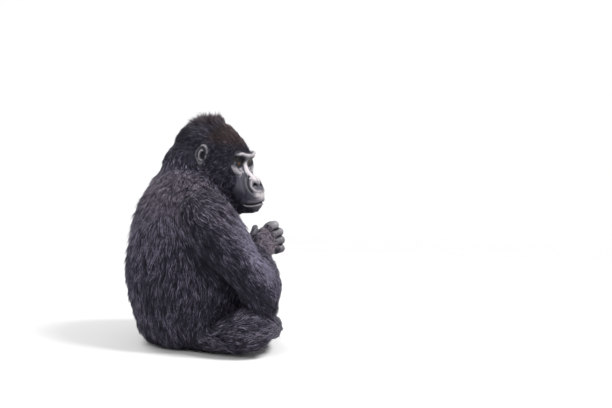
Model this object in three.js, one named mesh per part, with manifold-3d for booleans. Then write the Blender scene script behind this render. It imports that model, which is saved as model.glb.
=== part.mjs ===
// A life-size young mountain gorilla, sitting cross-legged on the floor and looking over its right shoulder.
// Millimetres. The animal faces -Y, its right side is -X, +Z is up and the floor is z = 0.
// Every solid reaches out to the tips of the coat.
import * as THREE from 'three';
import { mergeVertices } from 'three/addons/utils/BufferGeometryUtils.js';
import Module from 'manifold-3d';

const wasm = await Module();
wasm.setup();

const vec = (x, y, z) => new THREE.Vector3(x, y, z);

// ---------------------------------------------------------------- driving sizes
const GAP = 0.5; // clearance between parts that touch

// Trunk, from the rump to the shoulders: [height, back, front, half width]
const TRUNK = [
  [-14, 176, -126, 196],
  [50, 200, -148, 252],
  [120, 211, -180, 266],
  [200, 220, -204, 260],
  [290, 220, -200, 240],
  [380, 206, -168, 220],
  [440, 190, -142, 212],
  [490, 163, -108, 202],
  [540, 131, -72, 172],
  [578, 98, -42, 116],
  [600, 70, -20, 66],
];

// Joints of the right side; hips, knees and shoulders are the same on the left
const SHOULDER = vec(-198, 10, 452);
const HIP = vec(-112, 36, 44);
const KNEE = vec(-364, -150, 106);

const RIGHT_ARM = { elbow: vec(-349, -160, 200), wrist: vec(-128, -178, 322) };
const LEFT_ARM = { elbow: vec(342, -112, 206), wrist: vec(162, -218, 186) };
const RIGHT_ANKLE = vec(24, -256, 40);
const LEFT_ANKLE = vec(-16, -186, 40);

// Head: the ears' axis in the body, and how the head is turned
const HEAD_AT = vec(0, -81, 632);
const HEAD_TURN = THREE.MathUtils.degToRad(-42);
const HEAD_NOD = THREE.MathUtils.degToRad(13);
const EYE_RADIUS = 12.5;
const EYE = { out: 35, forward: 104, up: -9 };
const EAR = { out: 90, forward: 4, up: -6, height: 37, breadth: 21, thickness: 9 };

// Colours
const COAT = 0x1c1b1f;
const BARE = 0x37343a;
const EYE_BROWN = 0x3a1f10;

// ---------------------------------------------------------------- solids
function toSolid(geometry) {
  geometry.deleteAttribute('normal');
  geometry.deleteAttribute('uv');
  const merged = mergeVertices(geometry, 1e-3);
  return new wasm.Manifold(new wasm.Mesh({
    numProp: 3,
    vertProperties: merged.attributes.position.array,
    triVerts: new Uint32Array(merged.index.array),
  }));
}

function toGeometry(solid) {
  const { vertProperties, triVerts } = solid.getMesh();
  const geometry = new THREE.BufferGeometry();
  geometry.setAttribute('position', new THREE.BufferAttribute(vertProperties, 3));
  geometry.setIndex(new THREE.BufferAttribute(triVerts, 1));
  geometry.computeVertexNormals();
  return geometry;
}

const largestBody = (solid) => solid.decompose().sort((a, b) => b.volume() - a.volume())[0];

// A limb: a sphere's rows become oval sections along a smooth path of stations { at, wide, deep }.
// `across` is the direction in which `wide` is measured; `blunt` squares the ends off.
function limb(stations, across, { around = 16, along = 10, blunt = 4, square = 2, grow = 0 } = {}) {
  const path = new THREE.CatmullRomCurve3(stations.map((s) => s.at));
  const sizes = new THREE.CatmullRomCurve3(stations.map((s) => vec(s.wide, s.deep, 0)));
  const sphere = new THREE.SphereGeometry(1, around, along);
  const position = sphere.attributes.position;
  const squared = (c) => Math.sign(c) * Math.abs(c) ** (2 / square);
  for (let i = 0; i < position.count; i++) {
    const p = vec(0, 0, 0).fromBufferAttribute(position, i);
    const t = THREE.MathUtils.clamp((1 - p.y) / 2, 0, 1);
    const end = (1 - Math.abs(p.y) ** blunt) ** (1 / blunt) || 0;
    const ring = Math.hypot(p.x, p.z) || 1;
    const tangent = path.getTangent(t);
    const side = across.clone().addScaledVector(tangent, -across.dot(tangent)).normalize();
    const other = vec(0, 0, 0).crossVectors(tangent, side);
    const size = sizes.getPoint(t);
    const point = path.getPoint(t)
      .addScaledVector(tangent, -p.y * grow)
      .addScaledVector(side, squared(p.x / ring) * end * (size.x + grow))
      .addScaledVector(other, squared(p.z / ring) * end * (size.y + grow));
    position.setXYZ(i, point.x, point.y, point.z);
  }
  return toSolid(sphere);
}

// Stations between two joints: [fraction of the way, wide, deep] for each, with an optional sag
function between(from, to, profile, sag = vec(0, 0, 0)) {
  return profile.map(([t, wide, deep]) => ({
    at: from.clone().lerp(to, t).addScaledVector(sag, 4 * t * (1 - t)),
    wide,
    deep,
  }));
}

// ---------------------------------------------------------------- head
// Lumps of the head, in its own frame: centre [out, forward, up] and radii [across, along, upright].
const HEAD_LUMPS = [
  { at: [0, -18, 14], radii: [90, 116, 86] }, // brain case
  { at: [0, -22, 54], radii: [50, 66, 64] }, // crest and its tuft
  { at: [0, -70, -12], radii: [82, 78, 76] }, // nape
  { at: [0, 54, 26], radii: [58, 56, 40] }, // forehead
  { at: [0, 105, 16], radii: [68, 31, 18] }, // brow ridge
  { at: [0, 104, -18], radii: [22, 26, 40] }, // bridge of the nose
  { at: [0, 142, -64], radii: [34, 44, 22] }, // nose
  { at: [0, 140, -94], radii: [55, 60, 40] }, // upper lip
  { at: [0, 119, -138], radii: [52, 75, 40] }, // lower lip and chin
  { at: [34, 92, -70], radii: [36, 44, 44] }, // fold beside the nose
  { at: [50, 74, -38], radii: [36, 42, 46] }, // cheekbone
  { at: [56, 18, -76], radii: [42, 66, 66] }, // jaw muscle
];
const HEAD_HOLLOWS = [
  { at: [39, 134, -11], radii: [21, 25, 15] }, // eye sockets
];
const HEAD_SPINE = [[0, -30, 6], [0, 112, -92]];
const HEAD_BLEND = 9;
const HOLLOW_BLEND = 5;

const ellipsoidDistance = (p, at, radii) => {
  const q = p.map((c, i) => c - at[i]);
  const inside = Math.hypot(...q.map((c, i) => c / radii[i]));
  const slope = Math.hypot(...q.map((c, i) => c / radii[i] ** 2));
  return slope > 0 ? (inside * (inside - 1)) / slope : -Math.min(...radii);
};

// Signed distance to the head, both sides alike, with its lumps blended together
function headDistance([out, forward, up]) {
  const p = [Math.abs(out), forward, up];
  const sum = HEAD_LUMPS.reduce((s, l) => s + Math.exp(-ellipsoidDistance(p, l.at, l.radii) / HEAD_BLEND), 0);
  const body = -HEAD_BLEND * Math.log(sum);
  return HEAD_HOLLOWS.reduce((d, h) => {
    const hollow = Math.exp(-ellipsoidDistance(p, h.at, h.radii) / HOLLOW_BLEND);
    return HOLLOW_BLEND * Math.log(Math.exp(d / HOLLOW_BLEND) + hollow);
  }, body);
}

// Placed in the body, from the head's own [out, forward, up]
const headMatrix = new THREE.Matrix4()
  .makeRotationZ(HEAD_TURN)
  .multiply(new THREE.Matrix4().makeRotationX(HEAD_NOD))
  .setPosition(HEAD_AT);
const inHead = (out, forward, up) => vec(out, -forward, up).applyMatrix4(headMatrix);

// Turns the squares of one half of a sphere's grid to split the other way, so that both halves match
function mirrorSplits(sphere) {
  const { array } = sphere.index;
  const { position } = sphere.attributes;
  for (let i = 0; i + 5 < array.length; i += 3) {
    const [a, b, d, b2, c, d2] = array.slice(i, i + 6);
    const square = b === b2 && d === d2;
    if (square && position.getX(a) + position.getX(b) > 0) array.set([a, b, c, a, c, d], i);
    if (square) i += 3;
  }
}

// A sphere's points drawn in to the head's surface, about a line from the brain case to the mouth
function headSolid(grow) {
  const sphere = new THREE.SphereGeometry(1, 32, 22);
  mirrorSplits(sphere);
  const position = sphere.attributes.position;
  for (let i = 0; i < position.count; i++) {
    const p = vec(0, 0, 0).fromBufferAttribute(position, i);
    const polar = Math.PI * (1 - (1 - Math.acos(THREE.MathUtils.clamp(p.y, -1, 1)) / Math.PI) ** 1.2);
    const ring = Math.hypot(p.x, p.z) || 1;
    const ray = [p.x / ring * Math.sin(polar), -Math.cos(polar), p.z / ring * Math.sin(polar)];
    const along = polar / Math.PI;
    const at = (r) => ray.map((c, k) => THREE.MathUtils.lerp(HEAD_SPINE[0][k], HEAD_SPINE[1][k], along) + c * r);
    let reach = 300;
    for (let step = 0; step < 80; step++) reach -= 0.7 * headDistance(at(reach));
    const point = inHead(...at(reach + grow));
    position.setXYZ(i, point.x, point.y, point.z);
  }
  return toSolid(sphere);
}

function eyeball(side, grow) {
  const sphere = new THREE.SphereGeometry(EYE_RADIUS + grow, 10, 7);
  sphere.translate(side * EYE.out, -EYE.forward, EYE.up);
  return toSolid(sphere.applyMatrix4(headMatrix));
}

// An ear: an upright oval shell, standing off the head at its back edge and hollow on its outer face
function ear(side, grow) {
  const sphere = new THREE.SphereGeometry(1, 12, 7);
  const position = sphere.attributes.position;
  for (let i = 0; i < position.count; i++) {
    const p = vec(0, 0, 0).fromBufferAttribute(position, i);
    const bowl = p.x > 0 ? Math.max(0, 1 - Math.hypot(p.y, p.z) * 1.25) * 0.9 : 0;
    position.setXYZ(
      i,
      (p.x - bowl) * (EAR.thickness + grow),
      p.y * (EAR.breadth + grow) * (1 + 0.15 * p.z),
      p.z * (EAR.height + grow),
    );
  }
  sphere.rotateX(0.2);
  sphere.rotateZ(-0.5);
  sphere.translate(EAR.out, -EAR.forward, EAR.up);
  if (side < 0) {
    sphere.scale(-1, 1, 1);
    sphere.index.array.reverse();
  }
  return toSolid(sphere.applyMatrix4(headMatrix));
}

// ---------------------------------------------------------------- hands and feet
// A curled digit: its joints bend from `along` toward `inward` by the angles given, in degrees.
function digit(base, along, inward, { lengths, bends, radius, detail }, grow) {
  const points = [base.clone().addScaledVector(along, -radius)];
  let angle = 0;
  let at = base.clone();
  lengths.forEach((length, i) => {
    points.push(at.clone());
    angle += THREE.MathUtils.degToRad(bends[i]);
    at = at.clone()
      .addScaledVector(along, Math.cos(angle) * length)
      .addScaledVector(inward, Math.sin(angle) * length);
  });
  points.push(at);
  const across = vec(0, 0, 0).crossVectors(along, inward);
  const taper = (i) => radius * (1 - 0.06 * i);
  const stations = points.map((p, i) => ({ at: p, wide: taper(i), deep: taper(i) * 0.94 }));
  return limb(stations, across, { around: detail, along: detail, blunt: 3, grow });
}

// Four digits in a row and a big one to the side, on a palm or a sole from the wrist or heel.
// `along` points to the digits, `toThumb` to the big digit's side, and `inward` out of the palm.
function extremity(root, frame, shape, grow) {
  const { along, toThumb, inward } = frame;
  const spot = (a, s, n) => root.clone()
    .addScaledVector(along, a)
    .addScaledVector(toThumb, s)
    .addScaledVector(inward, n);
  const palm = limb(
    shape.palm.map(([a, s, n, wide, deep]) => ({ at: spot(a, s, n), wide, deep })),
    toThumb,
    { around: 12, along: 6, blunt: 3, square: 2.4, grow },
  );
  const row = shape.digits.map((d) => {
    const spread = toThumb.clone().multiplyScalar(d.spread).add(along).normalize();
    return digit(spot(...d.at), spread, inward, d, grow);
  });
  return row.reduce((all, one) => all.add(one), palm);
}

// Right-handed frame from two directions, the second squared up to the first
function frameOf(along, toThumb, handed) {
  const a = along.clone().normalize();
  const t = toThumb.clone().addScaledVector(a, -toThumb.dot(a)).normalize();
  const inward = vec(0, 0, 0).crossVectors(t, a).multiplyScalar(handed);
  return { along: a, toThumb: t, inward };
}

const FINGER_RADIUS = 15;
const handShape = (bends, thumbBends) => ({
  palm: [[-6, 0, 0, 34, 30], [30, 2, 0, 46, 28], [68, 0, 0, 54, 26], [94, -2, 3, 48, 21]],
  digits: [
    ...[38, 13, -12, -36].map((across, i) => ({
      at: [82 - Math.abs(i - 1) * 4, across, 2],
      spread: (1.5 - i) * 0.04,
      lengths: [46, 34, 24].map((l) => l * [0.95, 1.04, 1, 0.86][i]),
      bends,
      radius: FINGER_RADIUS - (i === 3 ? 1 : 0),
      detail: 6,
    })),
    { at: [30, 34, 18], spread: 0.5, lengths: [30, 26], bends: thumbBends, radius: 12, detail: 6 },
  ],
});

const FOOT_SHAPE = {
  palm: [[-34, 0, 0, 32, 27], [20, 0, 0, 34, 27], [80, 4, 2, 44, 22], [132, 2, 4, 47, 18]],
  digits: [
    ...[32, 11, -11, -32].map((across, i) => ({
      at: [128 - Math.abs(i - 1) * 6, across, 4],
      spread: 0,
      lengths: [26, 20, 14],
      bends: [4, 22, 30],
      radius: 13 - i * 0.6,
      detail: 5,
    })),
    { at: [62, 40, 8], spread: 0.7, lengths: [34, 30], bends: [6, 22], radius: 15, detail: 5 },
  ],
};

// ---------------------------------------------------------------- the parts, in order of precedence
// An earlier part keeps its shape, and a later one is cut back from it by the gap.
const ACROSS = vec(1, 0, 0);
const UP = vec(0, 0, 1);

const trunkStations = TRUNK.map(([height, back, front, half]) => ({
  at: vec(0, (back + front) / 2, height),
  wide: half,
  deep: (back - front) / 2,
}));
const neckStations = [
  { at: vec(0, 34, 490), wide: 120, deep: 60 },
  { at: vec(4, 29, 588), wide: 90, deep: 73 },
  { at: vec(12, 0, 652), wide: 66, deep: 60 },
];

const sideName = { '-1': 'right', 1: 'left' };
const onSide = (side, p) => (side < 0 ? p : vec(-p.x, p.y, p.z));

function legParts(side) {
  const knee = onSide(side, KNEE);
  const hip = onSide(side, HIP);
  const ankle = side < 0 ? RIGHT_ANKLE : LEFT_ANKLE;
  const name = sideName[side];
  const kneeCap = knee.clone().add(vec(side * 2, -20, -4));
  const thigh = between(
    hip, knee, [[-0.1, 46, 62], [0.2, 55, 92], [0.5, 62, 96], [0.8, 80, 88], [1.08, 74, 68]], vec(0, 0, -12),
  );
  const shin = between(kneeCap, ankle, [[0, 48, 46], [0.3, 52, 56], [0.65, 44, 46], [0.92, 38, 36], [1.04, 34, 34]]);
  const heading = vec(ankle.x - knee.x, 0, 0).normalize();
  const along = heading.clone().multiplyScalar(0.97).add(vec(0, side < 0 ? 0.16 : 0.22, -0.08));
  const sole = frameOf(along, vec(0, 0.45, 0.9), -side);
  const footRoot = ankle.clone().add(vec(0, 0, -4));
  return [
    [`thigh_${name}`, (grow) => limb(thigh, UP, { around: 16, along: 10, grow })],
    [`shin_${name}`, (grow) => limb(shin, UP, { around: 12, along: 8, grow })],
    [`foot_${name}`, (grow) => extremity(footRoot, sole, FOOT_SHAPE, grow)],
  ];
}

function armParts(side) {
  const name = sideName[side];
  const shoulder = onSide(side, SHOULDER);
  const { elbow, wrist } = side < 0 ? RIGHT_ARM : LEFT_ARM;
  const upper = between(shoulder, elbow, [
    [-0.22, 80, 80], [0, 98, 98], [0.3, 98, 96], [0.56, 76, 84], [0.85, 67, 70], [1.14, 62, 62],
  ]);
  const fore = between(elbow, wrist, [
    [-0.08, 60, 60], [0.18, 76, 72], [0.5, 67, 66], [0.85, 54, 52], [1.04, 44, 42],
  ]);
  const hand = side < 0
    ? { ...frameOf(vec(0.589, -0.779, 0.22), vec(0.088, 0.328, 0.94), 1), shape: handShape([-30, 95, 60], [4, 24]) }
    : { ...frameOf(vec(-0.9, -0.16, -0.36), vec(-0.3, 0.85, 0.3), -1), shape: handShape([14, 34, 26], [8, 18]) };
  return [
    [`upper_arm_${name}`, (grow) => limb(upper, vec(side * 0.21, -0.786, 0.581), { around: 14, along: 10, grow })],
    [`forearm_${name}`, (grow) => limb(fore, UP, { around: 14, along: 10, grow })],
    [`hand_${name}`, (grow) => extremity(wrist, hand, hand.shape, grow)],
  ];
}

const parts = [
  ['eye_right', (grow) => eyeball(-1, grow), EYE_BROWN, 0.1],
  ['eye_left', (grow) => eyeball(1, grow), EYE_BROWN, 0.1],
  ['head', headSolid],
  ['ear_right', (grow) => ear(-1, grow), BARE],
  ['ear_left', (grow) => ear(1, grow), BARE],
  ['trunk', (grow) => limb(trunkStations, ACROSS, { around: 24, along: 17, blunt: 5, square: 2.15, grow })],
  ['neck', (grow) => limb(neckStations, ACROSS, { around: 16, along: 8, grow })],
  ...[-1, 1].flatMap(legParts),
  ...[-1, 1].flatMap(armParts),
];

const floor = toSolid(new THREE.BoxGeometry(3000, 3000, 400).translate(0, 0, -200));
const gorilla = new THREE.Group();
const taken = [floor];
for (const [name, make, colour = COAT, roughness = 0.85] of parts) {
  const whole = make(0);
  const solid = largestBody(taken.reduce((left, other) => left.subtract(other), whole));
  const material = new THREE.MeshStandardMaterial({ color: colour, roughness, metalness: 0 });
  const mesh = new THREE.Mesh(toGeometry(solid), material);
  mesh.name = name;
  gorilla.add(mesh);
  taken.push(make(GAP));
}

// The origin is under the middle of the whole animal, on the floor
const middle = new THREE.Box3().setFromObject(gorilla).getCenter(vec(0, 0, 0));
gorilla.position.set(-middle.x, -middle.y, 0);

export default gorilla;
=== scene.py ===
import math

import bmesh
import bpy
import numpy as np
from mathutils import Matrix, Vector
from mathutils.bvhtree import BVHTree
from mathutils.kdtree import KDTree

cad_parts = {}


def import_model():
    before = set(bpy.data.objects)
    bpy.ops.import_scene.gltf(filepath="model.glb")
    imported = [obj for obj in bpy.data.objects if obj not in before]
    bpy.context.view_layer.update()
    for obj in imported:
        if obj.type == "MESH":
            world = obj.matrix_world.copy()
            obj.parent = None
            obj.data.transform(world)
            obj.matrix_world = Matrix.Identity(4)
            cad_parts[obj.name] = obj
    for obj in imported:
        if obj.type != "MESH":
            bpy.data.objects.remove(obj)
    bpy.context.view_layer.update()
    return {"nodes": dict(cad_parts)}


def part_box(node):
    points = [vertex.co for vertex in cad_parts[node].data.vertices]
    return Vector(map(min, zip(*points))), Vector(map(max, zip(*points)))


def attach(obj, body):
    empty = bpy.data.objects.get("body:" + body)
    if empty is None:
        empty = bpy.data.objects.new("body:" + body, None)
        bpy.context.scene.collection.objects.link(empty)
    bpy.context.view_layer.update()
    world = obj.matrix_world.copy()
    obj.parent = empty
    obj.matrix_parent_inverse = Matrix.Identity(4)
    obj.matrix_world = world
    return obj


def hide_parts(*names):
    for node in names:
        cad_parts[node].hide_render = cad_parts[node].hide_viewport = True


# A gorilla that sits with its shins crossed: one skin over all its flesh, a coat of solid tufts, two
# eyeballs and the nails. Lengths are in metres unless a comment says otherwise.
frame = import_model()
rng = np.random.default_rng(23)

# ---------------------------------------------------------------- driving sizes, in metres
SWELL = 0.002  # how far each solid is swelled, so that neighbours fuse
GRAIN = 0.004  # grain of the fused skin
KEPT = 0.285  # share of the fused skin's faces that are kept
BARE_DEPTH = 0.0006  # how deep the skin lies in the solids where it is bare
CROWN_DEPTH = 0.016  # how much deeper it lies under the crown's upright hair
SKIN_CLEAR, TUFT_CLEAR, NAIL_CLEAR = 0.0006, 0.0005, 0.0008  # how far each stays above the floor

SIDES = ("right", "left")
EYES = ("eye_right", "eye_left")
EARS = ("ear_right", "ear_left")
FLESH = [name for name in frame["nodes"] if name not in EYES]

EYE_FORWARD, EYE_UP = 0.104, -0.009  # the eyes' middle, in the head's own axes
EAR_FORWARD, EAR_UP = 0.004, -0.006  # the ears' middle
NOSTRIL = (0.018, 0.176, -0.066)  # the left nostril: out, forward and up

# Depth of the coat, length of its tufts, tufts for each square centimetre, and their width
COAT = {
    "trunk": (0.016, 0.044, 8.4, 0.0030),
    "neck": (0.014, 0.048, 10.0, 0.0029),
    "head": (0.010, 0.027, 20.0, 0.0022),
    "ear": (0.0006, 0.008, 2.0, 0.0012),
    "upper_arm": (0.014, 0.044, 9.6, 0.0029),
    "forearm": (0.013, 0.054, 10.0, 0.0029),
    "hand": (0.004, 0.025, 16.0, 0.0023),
    "thigh": (0.014, 0.042, 8.8, 0.0030),
    "shin": (0.012, 0.036, 8.8, 0.0030),
    "foot": (0.003, 0.021, 15.0, 0.0024),
}
DEPTH, LENGTH, DENSITY, WIDTH = range(4)  # the columns of COAT
SQUARE_METRE = 1e4  # in square centimetres

# Hands and feet: the wrist or ankle, the way that the digits point, and the way to the thumb or big toe
GRIPS = {
    "hand_right": ((-0.128, -0.1408, 0.322), (0.589, -0.779, 0.22), (0.088, 0.328, 0.94)),
    "hand_left": ((0.162, -0.1808, 0.186), (-0.9, -0.16, -0.36), (-0.3, 0.85, 0.3)),
    "foot_right": ((0.024, -0.2188, 0.036), (0.97, 0.16, -0.08), (0, 0.45, 0.9)),
    "foot_left": ((-0.016, -0.1488, 0.036), (-0.97, 0.22, -0.08), (0, 0.45, 0.9)),
}
GRIP_REACH = 0.24  # no digit ends farther from its wrist or ankle
KNUCKLES = {"hand": 0.092, "foot": 0.122}  # from the wrist or ankle to the bare digits
# Each digit's base (along, to the thumb, into the palm), its lean to the thumb, its bones and its radius
DIGITS = {
    "hand": [
        ((0.078, 0.038, 0.002), 0.06, (0.0437, 0.0354, 0.0228), 0.015),
        ((0.082, 0.013, 0.002), 0.02, (0.0478, 0.0354, 0.0250), 0.015),
        ((0.078, -0.012, 0.002), -0.02, (0.0460, 0.0340, 0.0240), 0.015),
        ((0.074, -0.036, 0.002), -0.06, (0.0396, 0.0292, 0.0206), 0.014),
        ((0.030, 0.034, 0.018), 0.5, (0.030, 0.026), 0.012),
    ],
    "foot": [
        ((0.122, 0.032, 0.004), 0.0, (0.026, 0.020, 0.014), 0.0130),
        ((0.128, 0.011, 0.004), 0.0, (0.026, 0.020, 0.014), 0.0124),
        ((0.122, -0.011, 0.004), 0.0, (0.026, 0.020, 0.014), 0.0118),
        ((0.116, -0.032, 0.004), 0.0, (0.026, 0.020, 0.014), 0.0112),
        ((0.062, 0.040, 0.008), 0.7, (0.034, 0.030), 0.0150),
    ],
}
THUMB = 4  # the last digit of each list: the thumb or big toe
# How far each joint bends, in degrees: the four digits, and the thumb or big toe
BENDS = {
    "hand_right": ((-30, 95, 60), (4, 24)),
    "hand_left": ((14, 34, 26), (8, 18)),
    "foot_right": ((4, 22, 30), (6, 22)),
    "foot_left": ((4, 22, 30), (6, 22)),
}


def kind_of(name):
    """A node's name without its side."""
    return name.replace("_right", "").replace("_left", "")


def side_of(name):
    """1 for a node on the animal's left, -1 for one on its right."""
    return 1 if name.endswith("left") else -1


def unit(v):
    v = np.asarray(v, float)
    return v / np.maximum(np.linalg.norm(v, axis=-1, keepdims=True), 1e-12)


def step(low, high, x):
    """Rises smoothly from 0 at low to 1 at high."""
    t = np.clip((x - low) / (high - low), 0, 1)
    return t * t * (3 - 2 * t)


def mix(a, b, t):
    return a + (b - a) * t


def wander(points, scale, seed):
    """A slow wave over space, from about -1 to 1, nearly the same for places close together."""
    way = np.random.default_rng(seed)
    total = 0
    for _ in range(5):
        ray = unit(way.normal(size=3)) * scale * way.uniform(0.6, 1.6)
        total = total + np.sin(points @ ray + way.uniform(0, 6.28))
    return total / 3


def distance(points, spots):
    """How far each point is from the nearest of the spots."""
    return np.min([np.linalg.norm(points - spot, axis=1) for spot in spots], axis=0)


# ---------------------------------------------------------------- meshes as arrays
def read(parts, field, width, kind=float):
    """One field of a mesh's corners, edges or faces, as a row for each."""
    out = np.empty(len(parts) * width, kind)
    parts.foreach_get(field, out)
    return out.reshape(-1, width)


def read_points(mesh):
    return read(mesh.vertices, "co", 3)


def read_normals(mesh):
    return read(mesh.vertex_normals, "vector", 3)


def read_edges(mesh):
    return read(mesh.edges, "vertices", 2, int)


def faces_of(mesh):
    return [tuple(face.vertices) for face in mesh.polygons]


def write_points(mesh, points):
    mesh.vertices.foreach_set("co", points.ravel())
    mesh.update()


def relaxed(values, edges, weight, rounds):
    """Each value drawn towards the mean of its neighbours."""
    a, b = edges.T
    n = len(values)
    values = values.reshape(n, -1).copy()
    count = np.maximum(np.bincount(edges.ravel(), minlength=n), 1)
    weight = np.broadcast_to(weight, n)
    for _ in range(rounds):
        for k in range(values.shape[1]):
            column = values[:, k]
            total = np.bincount(a, column[b], n) + np.bincount(b, column[a], n)
            values[:, k] = column + weight * (total / count - column)
    return values if values.shape[1] > 1 else values[:, 0]


def mesh_from(bm, name):
    """A mesh from a bmesh, which is freed."""
    mesh = bpy.data.meshes.new(name)
    bm.to_mesh(mesh)
    bm.free()
    return mesh


def in_order(bm):
    """The bmesh with its faces sorted by their corners: some operators leave them in an order that varies."""
    bm.verts.index_update()
    by_corners = sorted(bm.faces, key=lambda face: sorted(v.index for v in face.verts))
    rank = {face: at for at, face in enumerate(by_corners)}
    bm.faces.sort(key=rank.get)
    return bm


def placed(name, data):
    """A new object in the scene."""
    made = bpy.data.objects.new(name, data)
    bpy.context.scene.collection.objects.link(made)
    return made


def node_mesh(name, swell=0.0):
    """A copy of a node's mesh, its loose corners merged, swelled along its normals."""
    bm = bmesh.new()
    bm.from_mesh(frame["nodes"][name].data)
    bmesh.ops.remove_doubles(bm, verts=bm.verts, dist=1e-5)
    bmesh.ops.triangulate(bm, faces=bm.faces)
    bm.normal_update()
    for v in bm.verts:
        v.co += v.normal * swell
    return mesh_from(bm, name + "_copy")


def applied(mesh, kind, weights=None, **settings):
    """The mesh with one modifier applied, by the corners' weights where they are given."""
    holder = placed("holder", mesh)
    if weights is not None:
        group = holder.vertex_groups.new(name="weights")
        for level in np.unique(weights):
            if level > 0:
                group.add(np.flatnonzero(weights == level).tolist(), float(level), "REPLACE")
        settings["vertex_group"] = group.name
    modifier = holder.modifiers.new(kind, kind)
    for key, value in settings.items():
        setattr(modifier, key, value)
    graph = bpy.context.evaluated_depsgraph_get()
    out = bpy.data.meshes.new_from_object(holder.evaluated_get(graph))
    bpy.data.objects.remove(holder)
    bpy.data.meshes.remove(mesh)
    return out


# ---------------------------------------------------------------- the solids' own places
solids = {name: node_mesh(name) for name in FLESH}
corners = {name: read_points(mesh) for name, mesh in solids.items()}
trees = {
    name: BVHTree.FromPolygons(corners[name].tolist(), faces_of(mesh)) for name, mesh in solids.items()
}
NODE_KINDS = np.array([kind_of(name) for name in FLESH])


def centre(name):
    low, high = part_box(name)
    return np.array((low + high) / 2)


def meeting(a, b, reach=0.004):
    """The middle of the border where solid a touches solid b."""
    near = [p for p in corners[a] if trees[b].find_nearest(Vector(p), reach)[0] is not None]
    return np.mean(near, axis=0)


class Head:
    """The head's own axes: out to the animal's left, forward and up, from a place between the ears."""

    def __init__(self):
        eyes = [centre(name) for name in EYES]
        ears = [centre(name) for name in EARS]
        self.out = unit(eyes[1] - eyes[0])
        sight = np.mean(eyes, axis=0) - np.mean(ears, axis=0)
        sight = unit(sight - self.out * (sight @ self.out))
        over = np.cross(sight, -self.out)
        over = over if over[2] > 0 else -over
        # Ears and eyes aren't level in the head, so sight is tilted to the head's own forward
        tilt = math.atan2(EAR_UP - EYE_UP, EYE_FORWARD - EAR_FORWARD)
        self.forward = math.cos(tilt) * sight + math.sin(tilt) * over
        self.up = math.cos(tilt) * over - math.sin(tilt) * sight
        self.at = np.mean(eyes, axis=0) - EYE_FORWARD * self.forward - EYE_UP * self.up

    def axes(self):
        return np.stack([self.out, self.forward, self.up])

    def inside(self, points):
        """Points as (out, forward, up)."""
        return (points - self.at) @ self.axes().T

    def place(self, local):
        return self.at + self.turn(local)

    def turn(self, local):
        return np.asarray(local, float) @ self.axes()

    def mirrored(self, local):
        """A place on the head's left half, and the same place on its right."""
        out, forward, up = local
        return [self.place(local), self.place((-out, forward, up))]


head = Head()


class Grip:
    """A hand's or foot's own axes: along the digits, to the thumb, and into the palm."""

    def __init__(self, name):
        root, along, thumb = GRIPS[name]
        self.name = name
        self.root = np.array(root)
        self.along = unit(along)
        thumb = np.array(thumb, float)
        self.thumb = unit(thumb - self.along * (thumb @ self.along))
        self.palm = np.cross(self.thumb, self.along) * -side_of(name)

    def axes(self):
        return np.stack([self.along, self.thumb, self.palm])

    def inside(self, points):
        """Points as (along, to the thumb, into the palm) from the wrist or ankle."""
        return (points - self.root) @ self.axes().T

    def digits(self):
        """Each digit's bones and radius. A bone is its start, its way, its outer side and its length."""
        for index, (base, spread, bones, radius) in enumerate(DIGITS[kind_of(self.name)]):
            ahead = unit(self.along + spread * self.thumb)
            at, angle, chain = self.root + np.array(base) @ self.axes(), 0.0, []
            for bone, bend in zip(bones, BENDS[self.name][index == THUMB]):
                angle += math.radians(bend)
                way = math.cos(angle) * ahead + math.sin(angle) * self.palm
                outer = math.sin(angle) * ahead - math.cos(angle) * self.palm
                chain.append((at, way, outer, bone))
                at = at + way * bone
            yield chain, radius


grips = {name: Grip(name) for name in GRIPS}

STRIDE = 0.002  # from place to place along a digit's middle line
TIP_ROUND = 0.62  # where a digit's line ends before its tip, in radii
KNUCKLE_REACH = 0.007  # half the length of a knuckle
KNUCKLE_SWELL = 0.09  # how much thicker a digit is at its knuckles


def digit_line(chain, radius):
    """A digit's middle line with its thickness, its outer side, and how near a knuckle each place is."""
    line, outers, reach, knuckles, gone = [], [], [], [], 0.0
    for index, (at, way, outer, bone) in enumerate(chain):
        last = index == len(chain) - 1
        end = bone - TIP_ROUND * radius if last else bone
        for along in np.arange(0, end, STRIDE):
            line.append(at + way * along)
            outers.append(outer)
            reach.append(gone + along)
        if index:
            knuckles.append(gone)
        gone += bone
    line, outers, reach = np.array(line), np.array(outers), np.array(reach)
    for _ in range(12):
        line[1:-1] = (line[:-2] + line[1:-1] * 2 + line[2:]) / 4
        outers[1:-1] = (outers[:-2] + outers[1:-1] * 2 + outers[2:]) / 4
    near = np.max([np.exp(-(((reach - k) / KNUCKLE_REACH) ** 2)) for k in knuckles], axis=0)
    size = radius * (0.97 - 0.14 * reach / gone) * (1 + KNUCKLE_SWELL * near)
    return line, size, unit(outers), near


# ---------------------------------------------------------------- one skin over all the flesh
def fused_skin():
    """One closed mesh over all the solids, without a seam."""
    whole = bmesh.new()
    for name in frame["nodes"]:
        whole.from_mesh(node_mesh(name, SWELL))
    return applied(mesh_from(whole, "skin"), "REMESH", mode="VOXEL", voxel_size=GRAIN, adaptivity=0.0)


class Outline:
    """All the solids' surface as one tree, which knows the node of each face."""

    def __init__(self):
        points, faces, self.owner = [], [], []
        for index, name in enumerate(FLESH):
            start = sum(len(p) for p in points)
            points.append(corners[name])
            own = faces_of(solids[name])
            faces += [tuple(start + i for i in face) for face in own]
            self.owner += [index] * len(own)
        self.owner = np.array(self.owner)
        self.tree = BVHTree.FromPolygons(np.concatenate(points).tolist(), faces)

    def nearest(self, points):
        """Each point's nearest node, and its distance from that node's surface."""
        found = [self.tree.find_nearest(p) for p in points.tolist()]
        return self.owner[[f[2] for f in found]], np.array([f[3] for f in found])


outline = Outline()

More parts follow.
